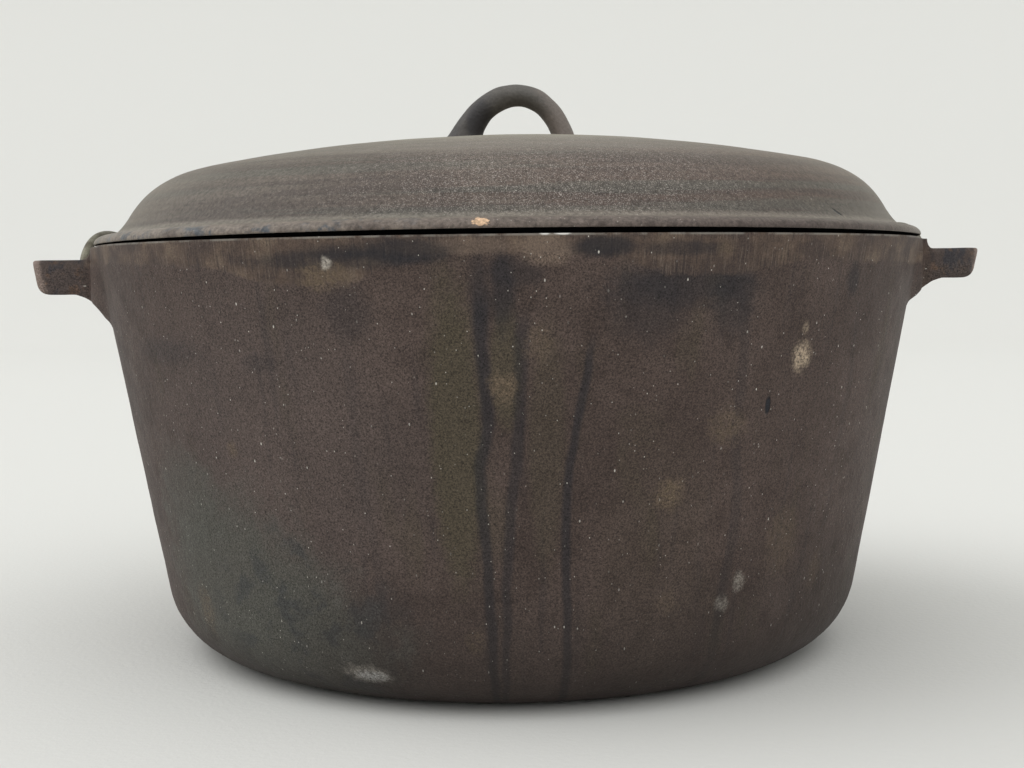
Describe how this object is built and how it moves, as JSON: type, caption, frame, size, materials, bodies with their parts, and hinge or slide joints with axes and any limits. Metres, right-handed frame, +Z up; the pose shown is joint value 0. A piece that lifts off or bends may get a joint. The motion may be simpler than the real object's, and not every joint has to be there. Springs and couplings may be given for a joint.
{
  "type": "cast iron dutch oven",
  "caption": "Round flat-bottomed cast iron dutch oven with tab handles, a domed flanged lid with a loop handle, and a wire bail that folds back behind the lid.",
  "frame": {"origin": "middle of the flat face of the pot's base, on the pot's axis", "axes": "+Z up along the pot's axis, X through the two tab handles and the bail's pivots, +Y towards the side where the bail lies folded"},
  "size_m": [0.4421, 0.3962, 0.2608],
  "materials": {
    "pot_iron": "sand-cast and seasoned, dark umber-brown with grease streaks",
    "lid_iron": "sand-cast and worn, grey-brown with turned tone bands",
    "bail_wire": "dull olive-grey wire"
  },
  "bodies": {
    "pot": {"pot": "pot_iron"},
    "lid": {"lid": "lid_iron"},
    "bail": {"bail": "bail_wire"}
  },
  "joints": [
    {"name": "lid_lift", "type": "slide", "parent": "pot", "child": "lid", "axis": [0, 0, 1], "range_m": [0, 0.21]},
    {"name": "bail_swing", "type": "hinge", "parent": "pot", "child": "bail", "pos_m": [0, 0, 0.1737], "axis": [1, 0, 0], "range_deg": [0, 98]}
  ]
}
